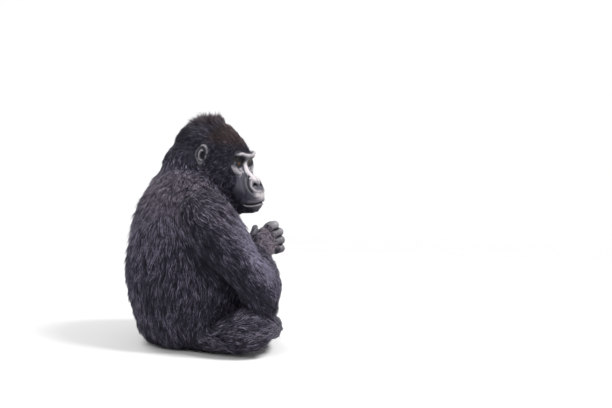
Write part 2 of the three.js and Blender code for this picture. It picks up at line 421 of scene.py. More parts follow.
# Where the bare face begins, in the head's axes: how far forward on the cheek at each height, and how
# high above the brow at each distance from the middle
CHEEK_UP = (-0.175, -0.160, -0.148, -0.132, -0.118, -0.104, -0.076, -0.054, -0.035, -0.011, 0.010, 0.030)
CHEEK_FORWARD = (0.215, 0.200, 0.180, 0.152, 0.130, 0.120, 0.127, 0.130, 0.114, 0.102, 0.096, 0.120)
HAIRLINE_OUT = (0.0, 0.012, 0.028, 0.045, 0.058, 0.066, 0.075)
HAIRLINE_UP = (0.0255, 0.0275, 0.031, 0.0305, 0.023, 0.0085, -0.011)


def face_margin(local):
    """How far inside the bare face's border a place lies, in metres."""
    out, forward, up = local.T
    cheek = forward - np.interp(up, CHEEK_UP, CHEEK_FORWARD)
    cheek = cheek + 1.2 * np.maximum(0.058 - np.abs(out), 0) * step(-0.10, -0.06, up)
    brow = np.interp(np.abs(out), HAIRLINE_OUT, HAIRLINE_UP) - up
    return np.minimum(cheek, brow) + 0.0018 * wander(local, 240, 7)


def grip_margin(name, points):
    """How far inside the bare palm, sole and digits a place lies, in metres."""
    local = grips[name].inside(points)
    digits = local[:, 0] - KNUCKLES[kind_of(name)] + 0.004 * wander(local, 150, 8)
    palm = local[:, 2] - 0.005
    return np.maximum.reduce([digits, palm, thumb_margin(name, points)])


def thumb_margin(name, points):
    """How far inside the bare part of the thumb or big toe a place lies, in metres."""
    line, size, _, _ = digit_line(*list(grips[name].digits())[THUMB])
    return size.mean() + 0.004 - distance(points, line[len(line) // 3:])


# The crown's upright tuft in the head's axes: where it begins and where it is whole, on each side of it
CROWN_SIDE = (0.054, 0.022)
CROWN_BACK, CROWN_FRONT = (-0.108, -0.070), (0.034, -0.012)
CROWN_LOW = (0.058, 0.080)


def crown_mask(local):
    """1 on the crown's upright tuft."""
    out, forward, up = local.T
    lengthwise = step(*CROWN_SIDE, np.abs(out)) * step(*CROWN_BACK, forward) * step(*CROWN_FRONT, forward)
    return lengthwise * step(*CROWN_LOW, up)


def skin_marks(points, owner):
    """How far inside a bare place each point lies, and how upright its hair is."""
    margin = np.full(len(points), -1.0)
    crown = np.zeros(len(points))
    for index, name in enumerate(FLESH):
        here = owner == index
        if kind_of(name) == "head":
            local = head.inside(points[here])
            margin[here] = face_margin(local)
            crown[here] = crown_mask(local)
        elif name in grips:
            margin[here] = grip_margin(name, points[here])
        elif kind_of(name) == "ear":
            margin[here] = 0.006  # bare all over
    return margin, crown


def bareness(margin):
    """1 on bare skin and 0 under the coat."""
    return step(-0.003, 0.003, margin)


def coat_table(owner, column):
    """One column of COAT for each point."""
    return np.array([COAT[kind][column] for kind in NODE_KINDS])[owner]


def close_to(name, points, far):
    """1 at a node's surface, falling to 0 at a distance."""
    found = [trees[name].find_nearest(p, far)[3] for p in points.tolist()]
    return 1 - step(0, far, np.array([far if d is None else d for d in found]))


def filled(mesh, points, edges, weight, rounds):
    """Hollows drawn outwards only, as loose skin bridges a crease."""
    for _ in range(rounds):
        write_points(mesh, points)
        normals = read_normals(mesh)
        drawn = relaxed(points, edges, 0.5, 4) - points
        out = np.maximum(np.sum(drawn * normals, axis=1), 0)
        points = points + normals * (out * weight)[:, None]
    return points


def fitted_skin():
    """The fused skin smoothed, and drawn in by its coat's depth, so that tufts fill the solids' outline."""
    mesh = fused_skin()
    points, edges = read_points(mesh), read_edges(mesh)
    owner, _ = outline.nearest(points)
    kinds = NODE_KINDS[owner]
    margin, crown = skin_marks(points, owner)
    bare = bareness(margin)
    fine = np.isin(kinds, ("head", "ear", "hand", "foot"))

    # Loose skin bridges the creases round the neck, and the rest is smoothed, the fine parts least
    by_neck = close_to("neck", points, 0.06) * (1 - bare) * (kinds != "ear")
    points = filled(mesh, points, edges, np.sqrt(by_neck), 24)
    points = relaxed(points, edges, np.where(fine, 0.12, 0.5), 6)
    points = relaxed(points, edges, np.where(fine, 0.0, 0.5), 14)

    depth = mix(coat_table(owner, DEPTH), BARE_DEPTH, bare) + CROWN_DEPTH * crown
    depth = relaxed(depth, edges, np.where(bare > 0.5, 0.1, 0.5), 24)
    write_points(mesh, points)
    points = points - read_normals(mesh) * (depth + SWELL)[:, None]
    points = relaxed(points, edges, np.where(fine, 0.05, 0.5), 6)
    write_points(mesh, points)

    # Under the coat the faces may be larger
    hairy = np.where(fine, np.where(bare > 0.02, 0.0, 0.25), 1.0)
    hairy = np.round(relaxed(hairy, edges, 0.5, 4), 1)
    return applied(mesh, "DECIMATE", hairy, ratio=KEPT, vertex_group_factor=1.0)


# ---------------------------------------------------------------- smaller faces, and digits
def subdivided(mesh, chosen):
    """The mesh with the edges between chosen corners halved."""
    bm = bmesh.new()
    bm.from_mesh(mesh)
    bm.verts.ensure_lookup_table()
    halved = [e for e in bm.edges if chosen[e.verts[0].index] and chosen[e.verts[1].index]]
    bmesh.ops.subdivide_edges(bm, edges=halved, cuts=1, use_grid_fill=True)
    bmesh.ops.triangulate(bm, faces=[f for f in bm.faces if len(f.verts) > 3])
    bm.to_mesh(mesh)
    bm.free()
    return mesh


def near_face(points, back, half):
    """Whether each point is on the head's front, from a place back and within half a width."""
    out, forward, up = head.inside(points).T
    return (forward > back) & (np.abs(out) < half) & (up < 0.06) & (up > -0.2)


def refined(mesh):
    """The skin with smaller faces where its features are small."""
    mesh = subdivided(mesh, near_face(read_points(mesh), 0.06, 0.085))
    eyes, ears = ([centre(name) for name in pair] for pair in (EYES, EARS))
    for spots, far in ((eyes, 0.023), (head.mirrored(NOSTRIL), 0.020), (ears, 0.040), (eyes, 0.0165)):
        mesh = subdivided(mesh, distance(read_points(mesh), spots) < far)
    return subdivided(mesh, on_digits(read_points(mesh))[0] > 0.5)


def on_digits(points):
    """1 on the bare digits, 0 elsewhere, and the hand or foot that each point is near."""
    chosen, part = np.zeros(len(points)), np.full(len(points), -1)
    for name, grip in grips.items():
        index = FLESH.index(name)
        near = np.flatnonzero(np.linalg.norm(points - grip.root, axis=1) < GRIP_REACH)
        own, _ = outline.nearest(points[near])
        near = near[own == index]
        inside = grip.inside(points[near])[:, 0] - KNUCKLES[kind_of(name)]
        chosen[near] = step(-0.014, 0.004, np.maximum(inside, thumb_margin(name, points[near])))
        part[near] = index
    return chosen, part


DIGIT_PALENESS = (1.4, 0.95, 0.65, 0.5, 0.2)  # how pale each digit is, from the first to the thumb: painted light, palest on the first, which lies uppermost in the right fist
DIGIT_FOLD = 0.008  # how far the painted shade between two digits reaches


def on_lines(points, lines):
    """Each digit's distance from the points, their places on its surface, and how pale they are there, with a
    painted highlight on its upper side.
    """
    gaps, targets, tones = [], [], []
    every = np.arange(len(points))
    for (line, size, outer, knuckle), paleness in zip(lines, DIGIT_PALENESS):
        offset = points[:, None] - line[None]
        far = np.linalg.norm(offset, axis=2)
        best = np.argmin(far - size[None], axis=1)
        way = offset[every, best] / far[every, best][:, None]
        gaps.append((far - size[None])[every, best])
        targets.append(line[best] + way * size[best][:, None])
        # The upward share of this gives a painted highlight on the digit's upper side
        back = np.sum(way * (0.75 * outer[best] + (0, 0, 0.45)), axis=1)
        tone = (0.01 + 0.16 * step(-0.1, 1.0, back)) * (1 + 0.6 * knuckle[best])
        tones.append(tone * paleness)
    return np.array(gaps), np.array(targets), np.array(tones)


def with_digits(points, edges, chosen, part):
    """Round, knuckled digits, with how pale their skin is and the painted shade between them."""
    pale, dark = np.zeros(len(points)), np.zeros(len(points))
    for name, grip in grips.items():
        rows = np.flatnonzero((chosen > 0) & (part == FLESH.index(name)))
        every = np.arange(len(rows))
        lines = [digit_line(*digit) for digit in grip.digits()]
        for last in (False, False, False, True):
            gaps, targets, tones = on_lines(points[rows], lines)
            nearest, second = np.argsort(gaps, axis=0)[:2]
            points[rows] = mix(points[rows], targets[nearest, every], 0.9 * chosen[rows, None])
            if last:
                pale[rows] = tones[nearest, every] * chosen[rows]
                # Painted shade where a digit lies against the next
                dark[rows] = step(DIGIT_FOLD, 0.001, gaps[second, every]) * chosen[rows]
            else:
                points = relaxed(points, edges, 0.3 * chosen, 1)
    return points, pale, dark


# ---------------------------------------------------------------- the face
# Broad moves of the face's left half, mirrored to the right, all in millimetres in the head's axes
# (out, forward, up): the middle, the reach each way, and the move
MOVES = {
    "root of the nose": ((0, 126, -9), (24, 40, 15), (0, -12, 0)),
    "between the nostrils": ((0, 190, -62), (11, 30, 12), (0, -9, 0)),
    "top of the nose": ((0, 178, -53), (28, 30, 10), (0, -6, 0)),
    "cheekbone": ((56, 108, -16), (20, 26, 20), (1, 8, 0)),
    "brow": ((34, 126, 27), (28, 24, 8), (0, 2, 1)),
    "lips": ((0, 196, -112), (44, 40, 17), (0, 11, 0)),
    "lower lip": ((0, 192, -133), (40, 36, 15), (0, 8, 0)),
    "chin": ((0, 172, -156), (30, 34, 14), (0, 12, -4)),
}

# The face's features on its left half, mirrored to the right: a line through places in the head's
# axes (out, forward, up), its width and how far it stands out, all in millimetres, then how pale it
# makes the skin, which is painted sheen and highlight with some dust, and how dark, which is painted
# shade in its folds and hollows
FEATURES = {
    "brow": (
        [(0, 135, 23), (14, 135, 26), (29, 130, 28), (45, 119, 28), (58, 107, 21), (65, 97, 7)],
        6.5, 3.2, 0.66, 0,
    ),
    "brow furrow": ([(7, 136, 26), (6, 131, 8), (5, 121, -6)], 3, -1.4, 0, 0.2),
    "middle furrow": ([(0, 133, 16), (0, 124, 2)], 2.6, -1.2, 0, 0.25),
    "socket": ([(17, 116, 2), (26, 114, 8), (36, 111, 10), (48, 105, 8), (57, 99, -1)], 11, -2.4, 0, 1.6),
    "socket floor": ([(19, 114, -14), (34, 114, -17), (50, 106, -15), (58, 99, -7)], 7, 0, 0, 1.0),
    "upper lid fold": ([(20, 112, 0), (34, 112, 6), (48, 100, 1)], 2.2, -1.2, 0, 0.9),
    "under the eye": ([(62, 106, -24), (50, 117, -31), (36, 129, -40)], 8, 1.0, 0.52, 0),
    "inner cheek": ([(30, 120, -24), (26, 128, -34)], 6, 0.4, 0.5, 0),
    "lower lid fold": ([(19, 117, -18), (32, 117, -23), (48, 110, -22), (57, 101, -13)], 2.2, -1.4, 0, 0.5),
    "second fold": ([(24, 124, -29), (38, 120, -34), (52, 110, -31), (61, 101, -22)], 2.2, -1.0, 0, 0.2),
    "third fold": ([(33, 127, -45), (46, 122, -47), (57, 112, -42)], 3.0, -0.9, 0, 0.2),
    "nose bridge": ([(1, 121, -12), (2, 131, -29), (4, 148, -44), (9, 164, -50)], 13, 0.6, 1.0, 0),
    "side of the nose": (
        [(15, 120, -14), (18, 129, -28), (22, 138, -40), (28, 147, -50)],
        2.5, -2.2, 0, 0.55,
    ),
    "nose wing": (
        [(2, 184, -55), (13, 173, -52), (23, 165, -54), (31, 168, -63), (33, 175, -75), (25, 186, -84),
         (8, 194, -84)],
        4.0, 2.2, 0.42, 0,
    ),
    "top of the nose": ([(3, 172, -50), (13, 164, -48), (22, 156, -50)], 5, 0.8, 0.8, 0),
    "wing crease": (
        [(17, 149, -44), (28, 152, -50), (39, 160, -61), (42, 170, -77), (37, 181, -88)],
        3.2, -3.2, 0, 0.8,
    ),
    "nostril": ([(13, 181, -68), (17, 178, -66), (19, 175, -65)], 3.6, -12.0, 0, 3.5),
    "nostril tail": ([(20, 174, -65), (26, 174, -70)], 2.4, -3.0, 0, 1.2),
    "tip groove": ([(0, 180, -52), (0, 186, -64), (0, 192, -78)], 2.6, -1.4, 0, 0.3),
    "lip groove": ([(0, 197, -84), (0, 206, -98)], 4, -1.2, 0, 0.1),
    "cheek fold": (
        [(30, 133, -40), (42, 141, -58), (47, 152, -76), (46, 164, -92), (47, 162, -108)],
        4.2, -2.0, 0, 0.45,
    ),
    "front of the lip": ([(0, 205, -92), (10, 204, -95), (22, 198, -92)], 12, 0, 0.66, 0),
    "lip edge": ([(0, 210, -107), (15, 206, -111), (28, 197, -117), (40, 178, -121)], 5, 1.2, 0.12, 0),
    "mouth": (
        [(0, 211, -117.5), (8, 209, -118), (16, 203, -121), (28, 190, -127), (38, 178, -131),
         (44, 163, -132), (46, 151, -127)],
        2.4, -5.0, 0, 2.2,
    ),
    "lower lip": (
        [(0, 208, -124), (8, 206, -124.5), (16, 200, -127.5), (28, 188, -133), (38, 176, -137),
         (42, 164, -137)],
        2.1, 1.8, 0.45, 0,
    ),
    "chin fold": ([(0, 202, -146), (18, 196, -148), (34, 178, -148)], 6, -1.4, 0, 0.4),
    "mouth corner": ([(47, 150, -118), (51, 145, -128), (49, 146, -138)], 4, -1.8, 0, 0.5),
    "muzzle line": ([(45, 172, -100), (30, 190, -104), (14, 202, -101)], 3.0, -0.8, 0, 0.15),
}

# Half of the eye's opening to the sides and up or down, and how far it looks to the temple
LID_SIDE, LID_RISE, LID_TURN = math.radians(50), math.radians(19), math.radians(10)
LID_SLANT = 0.10  # how much the opening drops towards the temple
LID_GAP, LID_RIM = 0.0011, 0.0011  # how far lids lie over the eyeball, and their rims over them
LID_TUCK = 0.003  # how far the skin is drawn in under the eyeball, inside the opening
LID_REACH = 0.014  # how far from an eyeball its lids begin
LID_SHADE = 5.0  # how wide the painted shade along the lids' rims is, in degrees


def curve_through(stops, each=9):
    """A smooth line of points through the stops."""
    stops = np.array(stops, float)
    ends = np.concatenate([[2 * stops[0] - stops[1]], stops, [2 * stops[-1] - stops[-2]]])
    t = np.linspace(0, 1, each, endpoint=False)[:, None]
    line = [
        0.5 * (2 * b + (c - a) * t + (2 * a - 5 * b + 4 * c - d) * t**2 + (3 * b - a - 3 * c + d) * t**3)
        for a, b, c, d in zip(ends, ends[1:], ends[2:], ends[3:])
    ]
    return np.concatenate(line + [stops[-1:]])


def moved(points):
    """Draws whole parts of the face out or in."""
    local = head.inside(points) * 1000
    shift = np.zeros_like(local)
    for middle, reach, move in MOVES.values():
        for side in (1, -1) if middle[0] else (1,):
            turn = np.array((side, 1, 1))
            far = np.sum(((local - np.array(middle) * turn) / reach) ** 2, axis=1)
            shift += np.exp(-far)[:, None] * (np.array(move) * turn)
    return points + head.turn(shift / 1000)


def painted(pale, dark, zone, weight, paleness, darkness):
    """Adds one feature to the skin's pale marks and its painted shade, in place."""
    pale[zone] = np.maximum(pale[zone] - darkness * weight, paleness * weight)
    dark[zone] = np.maximum(dark[zone] - 0.6 * paleness * weight, np.minimum(darkness * weight, 1))


def carved(mesh, points):
    """Raises and sinks the face's features, and returns with them the skin's pale marks, painted sheen and
    highlight with some dust, and its painted shade in folds and hollows.
    """
    pale, dark = np.zeros(len(points)), np.zeros(len(points))
    zone = np.flatnonzero(near_face(points, 0.05, 0.1))
    tree = BVHTree.FromPolygons(points.tolist(), faces_of(mesh))
    for stops, width, stands, paleness, darkness in FEATURES.values():
        line = curve_through(np.array(stops) / 1000)
        line = np.concatenate([line, line * (-1, 1, 1)])
        line = np.array([tree.find_nearest(p)[0] for p in head.place(line).tolist()])
        weight = np.exp(-((distance(points[zone], line) * 1000 / width) ** 2))
        write_points(mesh, points)
        normals = read_normals(mesh)[zone]
        points[zone] += normals * (weight * stands / 1000)[:, None]
        painted(pale, dark, zone, weight, paleness, darkness)
    return points, pale, dark


def eye_radius(name):
    low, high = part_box(name)
    return (high - low).x / 2


def with_lids(points, dark, name):
    """Opens the skin over an eyeball, with the lids' rims standing over it and painted shade along them."""
    radius = eye_radius(name)
    temple = head.out * side_of(name)
    axis = head.forward * math.cos(LID_TURN) + temple * math.sin(LID_TURN)
    side = temple * math.cos(LID_TURN) - head.forward * math.sin(LID_TURN)
    offset = points - centre(name)
    far = np.linalg.norm(offset, axis=1)
    ahead = offset @ axis
    yaw = np.arctan2(offset @ side, ahead)
    pitch = np.arctan2(offset @ head.up, np.hypot(ahead, offset @ side)) + LID_SLANT * yaw
    bow = np.maximum(1 - (yaw / LID_SIDE) ** 2, -1)
    inside = np.degrees(np.minimum(LID_RISE * bow - pitch, pitch + LID_RISE * bow))
    near = (far < radius + LID_REACH) & (ahead > 0.1 * far)
    cover = np.maximum(far, radius + LID_GAP + LID_RIM * step(14, 2, -inside))
    wanted = mix(cover, radius - LID_TUCK, step(-0.5, 3.0, inside))
    share = np.where(near, wanted / np.maximum(far, 1e-9), 1.0)
    # Painted shade along the lids' rims
    rim = near * np.exp(-((inside / LID_SHADE) ** 2))
    return centre(name) + offset * share[:, None], np.maximum(dark, rim)


# An ear's folds seen from its side: a line through places (towards the back of the head, up), its width
# and how far it stands out, all in millimetres, then how pale it makes the skin, a painted highlight on
# rims and ridges, and how dark, painted shade in the groove and bowl
EAR_FOLDS = {
    "rim": ([(-14, 8), (-13, 22), (-2, 32), (11, 27), (17, 12), (16, -6), (9, -20)], 3.4, 3.0, 0.25, 0),
    "groove": ([(-6, 16), (1, 24), (9, 19), (12, 6), (10, -8)], 3.0, -2.2, 0, 0.85),
    "inner ridge": ([(-1, 16), (5, 12), (7, 0), (4, -12), (-3, -17)], 3.0, 2.2, 0.38, 0),
    "bowl": ([(-5, 6), (-3, -2), (-5, -8)], 5.2, -5.0, 0, 1.6),
    "flap": ([(-13, -1), (-12, -8)], 3.2, 2.6, 0.15, 0),
    "lobe": ([(-4, -26), (3, -26)], 6.0, 1.2, 0.2, 0),
}


def with_ears(mesh, points, pale, dark):
    """The ears' rolled rim, inner ridge and bowl, with painted highlight on the rim and ridges and painted
    shade in the groove and bowl.
    """
    write_points(mesh, points)
    normals = read_normals(mesh)
    for name in EARS:
        local = (points - centre(name)) @ head.axes().T * 1000
        near = (np.abs(local[:, 0]) < 30) & (np.hypot(local[:, 1], local[:, 2]) < 48)
        outwards = normals @ head.out * side_of(name) > 0.1
        zone = np.flatnonzero(near & outwards)
        side = np.stack([-local[zone, 1], local[zone, 2]], axis=1)
        for stops, width, stands, paleness, darkness in EAR_FOLDS.values():
            weight = np.exp(-((distance(side, curve_through(stops)) / width) ** 2))
            points[zone] += normals[zone] * (weight * stands / 1000)[:, None]
            painted(pale, dark, zone, weight, paleness, darkness)
    return points, pale, dark


# ---------------------------------------------------------------- the skin's shape
mesh = refined(fitted_skin())
points, edges = read_points(mesh), read_edges(mesh)
points, digit_pale, digit_painted_shade = with_digits(points, edges, *on_digits(points))
points = relaxed(points, edges, np.where(near_face(points, 0.056, 0.09), 0.4, 0.0), 3)
points, pale, dark = carved(mesh, moved(points))
for name in EYES:
    points, dark = with_lids(points, dark, name)
points, pale, dark = with_ears(mesh, points, pale, dark)
pale, dark = np.maximum(pale, digit_pale), np.maximum(dark, 0.85 * digit_painted_shade)
points[:, 2] = np.maximum(points[:, 2], SKIN_CLEAR)
write_points(mesh, points)


# ---------------------------------------------------------------- lie of the coat
# The neighbours where a limb's part begins and ends
BONES = {
    "upper_arm": ("trunk", "forearm"),
    "thigh": ("trunk", "shin"),
    "shin": ("thigh", "foot"),
}


def beside(name, other):
    """The name of a node's neighbour, on its own side of the body."""
    return other if other == "trunk" else f"{other}_{name.rpartition('_')[2]}"


def lie_on_head(spots):
    """Back over the crown, down and back over the cheeks, and down the nape."""
    out, forward, up = head.inside(spots).T
    high = step(-0.02, 0.05, up)
    ahead = mix(-0.7, -1.0, high)
    rise = mix(-0.9, 0.15, high) * step(-0.16, -0.02, forward) - 1.2 * step(-0.02, -0.12, forward)
    return head.turn(np.stack([0.25 * np.sign(out) * high, ahead, rise], axis=1))


def lie_on_trunk(spots, normals):
    """Down and a little outwards, and out and back over the top of the shoulders."""
    top = step(0.3, 0.9, normals[:, 2])
    spread = mix(0.35, 1.2, top) * np.clip(spots[:, 0] / 0.15, -1, 1)
    return np.stack([spread, mix(0.15, 0.8, top), mix(-1, -0.3, top)], axis=1)


def lie_on_limb(name, spots):
    """Down the limb, but up the forearm to the elbow. An ear's hair hangs."""
    kind = kind_of(name)
    if kind in BONES:
        start, end = BONES[kind]
        return unit(meeting(name, beside(name, end)) - meeting(name, beside(name, start)))
    if kind == "forearm":
        wrist, elbow = (meeting(name, beside(name, other)) for other in ("hand", "upper_arm"))
        bone = elbow - wrist
        share = step(0.0, 0.4, (spots - wrist) @ bone / (bone @ bone))[:, None]
        return mix(-grips[beside(name, "hand")].thumb, unit(bone) + (0, 0, -0.3), share)
    if kind == "hand":
        share = step(0.005, 0.06, grips[name].inside(spots)[:, :1])
        return mix(-grips[name].thumb, grips[name].along, share)
    if kind == "foot":
        return grips[name].along
    return np.array([0, 0, -1.0])


def coat_lie(points, normals, owner):
    """Which way the coat lies at each point of the skin."""
    lie = np.zeros_like(points)
    for index, name in enumerate(FLESH):
        here = owner == index
        kind = kind_of(name)
        if kind == "head":
            lie[here] = lie_on_head(points[here])
        elif kind == "trunk":
            lie[here] = lie_on_trunk(points[here], normals[here])
        elif kind == "neck":
            lie[here] = (0, 0.35, -1)
        else:
            lie[here] = lie_on_limb(name, points[here])
    return unit(lie)


owner, room = outline.nearest(points)
kinds = NODE_KINDS[owner]
margin, crown = skin_marks(points, owner)
bare = relaxed(bareness(margin), edges, 0.4, 2)
normals = read_normals(mesh)
lie = relaxed(coat_lie(points, normals, owner), edges, 0.5, 40)
lie = unit(lie - normals * np.sum(lie * normals, axis=1, keepdims=True))


# ---------------------------------------------------------------- finishes
class Signal:
    """A node's output. Sums and products of signals add Math nodes to their material."""

    def __init__(self, socket):
        self.socket = socket

    def math(self, operation, a, b=0.0):
        return Finish(self.socket.id_data).node("ShaderNodeMath", {"operation": operation}, {0: a, 1: b})

    def at_most(self, limit):
        return self.math("MINIMUM", self, limit)

    def at_least(self, limit):
        return self.math("MAXIMUM", self, limit)

    def __add__(self, other):
        return self.math("ADD", self, other)

    def __sub__(self, other):
        return self.math("SUBTRACT", self, other)

    def __rsub__(self, other):
        return self.math("SUBTRACT", other, self)

    def __mul__(self, other):
        return self.math("MULTIPLY", self, other)

    def __truediv__(self, other):
        return self.math("DIVIDE", self, other)

    __radd__ = __add__
    __rmul__ = __mul__


def set_stops(ramp, stops):
    """Gives a ramp its places and colours, in order."""
    ramp.elements.remove(ramp.elements[1])
    ramp.elements[0].position = stops[0][0]
    for place, _ in stops[1:]:
        ramp.elements.new(place)
    for element, (_, colour) in zip(ramp.elements, stops):
        element.color = (*colour, 1)


class Finish:
    """A material's nodes."""

    def __init__(self, tree, material=None):
        self.tree = tree
        self.material = material

    @classmethod
    def named(cls, name):
        """A new material without nodes."""
        material = bpy.data.materials.new(name)
        material.use_nodes = True
        material.node_tree.nodes.clear()
        return cls(material.node_tree, material)

    def node(self, kind, settings=None, sockets=None, output=0):
        """A node with its settings, its sockets' values or links, and the output that is read."""
        made = self.tree.nodes.new(kind)
        for key, value in (settings or {}).items():
            if key == "stops":
                set_stops(made.color_ramp, value)
            else:
                setattr(made, key, value)
        for key, value in (sockets or {}).items():
            if isinstance(value, Signal):
                self.tree.links.new(value.socket, made.inputs[key])
            else:
                made.inputs[key].default_value = value
        return Signal(made.outputs[output]) if made.outputs else None

    def colour_mix(self, a, b, share):
        """From colour a to colour b by a share, which is held between 0 and 1."""
        a, b = (colour if isinstance(colour, Signal) else (*colour, 1) for colour in (a, b))
        settings = {"data_type": "RGBA", "clamp_factor": True}
        return self.node("ShaderNodeMix", settings, {0: share, 6: a, 7: b}, output=2)

    def vector(self, operation, *values, output=0):
        """A Vector Math node. Its output 1 is a number."""
        return self.node("ShaderNodeVectorMath", {"operation": operation}, dict(enumerate(values)), output)

    def attribute(self, name):
        return self.node("ShaderNodeAttribute", {"attribute_name": name}, output=2)

    def place(self):
        return self.node("ShaderNodeTexCoord", output=3)

    def noise(self, place, scale, detail=2.0, rough=0.5):
        return self.node(
            "ShaderNodeTexNoise", None,
            {"Vector": place, "Scale": scale, "Detail": detail, "Roughness": rough},
        )

    def close(self, **sockets):
        """The material with its shader, whose sockets are named with _ for each space."""
        sockets = {key.replace("_", " "): value for key, value in sockets.items()}
        shader = self.node("ShaderNodeBsdfPrincipled", None, sockets)
        self.node("ShaderNodeOutputMaterial", None, {"Surface": shader})
        return self.material


INK = (0.006, 0.006, 0.014)  # the coat's own black
SMOKE = (0.29, 0.265, 0.37)  # its paler hairs
SEPIA = (0.016, 0.009, 0.009)  # brown of the forehead, dark
RUST = (0.17, 0.098, 0.085)  # brown of the forehead, light
UMBER = (0.20, 0.150, 0.150)  # brown of the shoulders' paler hairs
HIDE = (0.042, 0.040, 0.063)  # bare skin
SOOT = (0.016, 0.015, 0.022)  # its darker blotches
PALE = (0.58, 0.535, 0.555)  # pale skin on the brow, nose, lips, ears and digits: painted sheen and highlight, with some dust on the face
PAINTED_SHADE_BLACK = (0.004, 0.004, 0.005)  # painted shade in the nostrils, folds, hollows and the mouth's line
HORN_DARK, HORN_PALE = (0.018, 0.015, 0.015), (0.075, 0.062, 0.055)  # streaks of the nails


def coat_colour(f, place, tone):
    """The coat's colour, the same on the tufts and on the skin below them. Its tone carries the painted light
    and shade.
    """
    waves = f.noise(place, 130.0, 3.0, 0.6)
    pale = f.colour_mix(SMOKE, UMBER, f.attribute("umber"))
    pale = f.colour_mix(pale, RUST, f.attribute("rust"))
    ink = f.colour_mix(INK, SEPIA, f.attribute("rust"))
    return f.colour_mix(ink, pale, tone * (3.6 * waves - 0.85))


def coat_finish():
    f = Finish.named("coat")
    # The tufts' tone carries painted light and shade as well as their own lightness
    tone = f.attribute("tone")
    colour = coat_colour(f, f.place(), tone)
    return f.close(Base_Color=colour, Roughness=0.55 - 0.15 * tone, Specular_IOR_Level=0.25)


def skin_finish():
    """Furred where the coat grows, with the coat's painted light and shade, and wrinkled hide where it is
    bare, with pale marks of painted sheen and highlight, some dust on the face, and painted shade in its
    folds and hollows.
    """
    f = Finish.named("skin")
    place = f.place()
    bare, pale, dark = (f.attribute(name) for name in ("bare", "pale", "dark"))
    furred = coat_colour(f, place, 0.03 * f.attribute("shade").at_most(1.0))
    leather = f.noise(place, 160.0, 4.0, 0.6)
    blotch = f.noise(place, 28.0, 3.0)
    hide = f.colour_mix(HIDE, SOOT, blotch)
    # Pale marks: painted sheen and highlight, with some dust on the face
    hide = f.colour_mix(hide, PALE, pale * (0.45 + 0.9 * leather))
    # Painted shade in the folds and hollows
    hide = f.colour_mix(hide, PAINTED_SHADE_BLACK, dark)
    wrinkle = f.node(
        "ShaderNodeTexVoronoi", {"feature": "DISTANCE_TO_EDGE"}, {"Vector": place, "Scale": 240.0}
    )
    height = leather * 0.6 + wrinkle
    normal = f.node("ShaderNodeBump", None, {"Strength": 0.35, "Distance": 0.001, "Height": height})
    return f.close(
        Base_Color=f.colour_mix(furred, hide, bare),
        Roughness=0.58 - 0.12 * blotch,
        Specular_IOR_Level=0.2,
        Coat_Weight=bare * (0.35 - 0.5 * dark).at_least(0.0),
        Coat_Roughness=0.42,
        Normal=normal,
    )


# ---------------------------------------------------------------- pieces
def piece(name, mesh, finish, slot, *nodes):
    """A piece of the model, which stands for the nodes that it replaces."""
    mesh.materials.clear()
    mesh.materials.append(finish)
    mesh.polygons.foreach_set("use_smooth", [True] * len(mesh.polygons))
    made = placed(name, mesh)
    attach(made, "root")
    if nodes:
        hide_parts(*nodes)
    return made


def mark(mesh, name, values):
    """Writes one value for each corner, which a finish reads by its name."""
    layer = mesh.attributes.new(name, "FLOAT", "POINT")
    layer.data.foreach_set("value", values)


# How light the coat's paler hairs are on each kind of node, set to how lit each part looks: partly painted
# light and shade
SHADE = {
    "trunk": 0.95, "neck": 0.45, "head": 0.65, "ear": 0.5, "upper_arm": 0.36, "forearm": 0.95, "hand": 5.5,
    "thigh": 1.3, "shin": 1.0, "foot": 0.8,
}
# Where two parts press together, painted shade darkens their coats
CREASES = (("trunk", "upper_arm"), ("trunk", "thigh"), ("trunk", "forearm"), ("forearm", "thigh"))
CREASE_TOP, CREASE_FADE = 0.40, 0.04  # the highest place of a crease, and how it fades there
CREASE_REACH = 0.035  # how far its painted shade reaches


def creases(points, kinds):
    """Painted shade: 1 where neighbouring parts press together, falling to 0 at the creases' reach."""
    deep = np.zeros(len(points))
    for pair in CREASES:
        for one, two in (pair, pair[::-1]):
            here = np.flatnonzero((kinds == one) & (points[:, 2] < CREASE_TOP))
            for name in (n for n in FLESH if kind_of(n) == two):
                deep[here] = np.maximum(deep[here], close_to(name, points[here], CREASE_REACH))
    return deep * step(CREASE_TOP + CREASE_FADE, CREASE_TOP - CREASE_FADE, points[:, 2])


def browns(local, kinds, high):
    """How brown the coat is, on the forehead and crown and on the shoulders and limbs."""
    _, forward, up = local.T
    on_head = (kinds == "head") * 1.0
    rust = on_head * step(0.026, 0.050, up) * step(0.0, 0.035, forward) * 0.85
    rust = np.maximum(rust, 0.7 * on_head * crown_mask(local))
    umber = np.select(
        [kinds == "trunk", kinds == "upper_arm", np.isin(kinds, ("forearm", "thigh")), kinds == "hand"],
        [0.45 * step(0.40, 0.50, high), 0.35 * step(0.40, 0.46, high), 0.22, 0.6],
        0.0,
    )
    return rust, umber


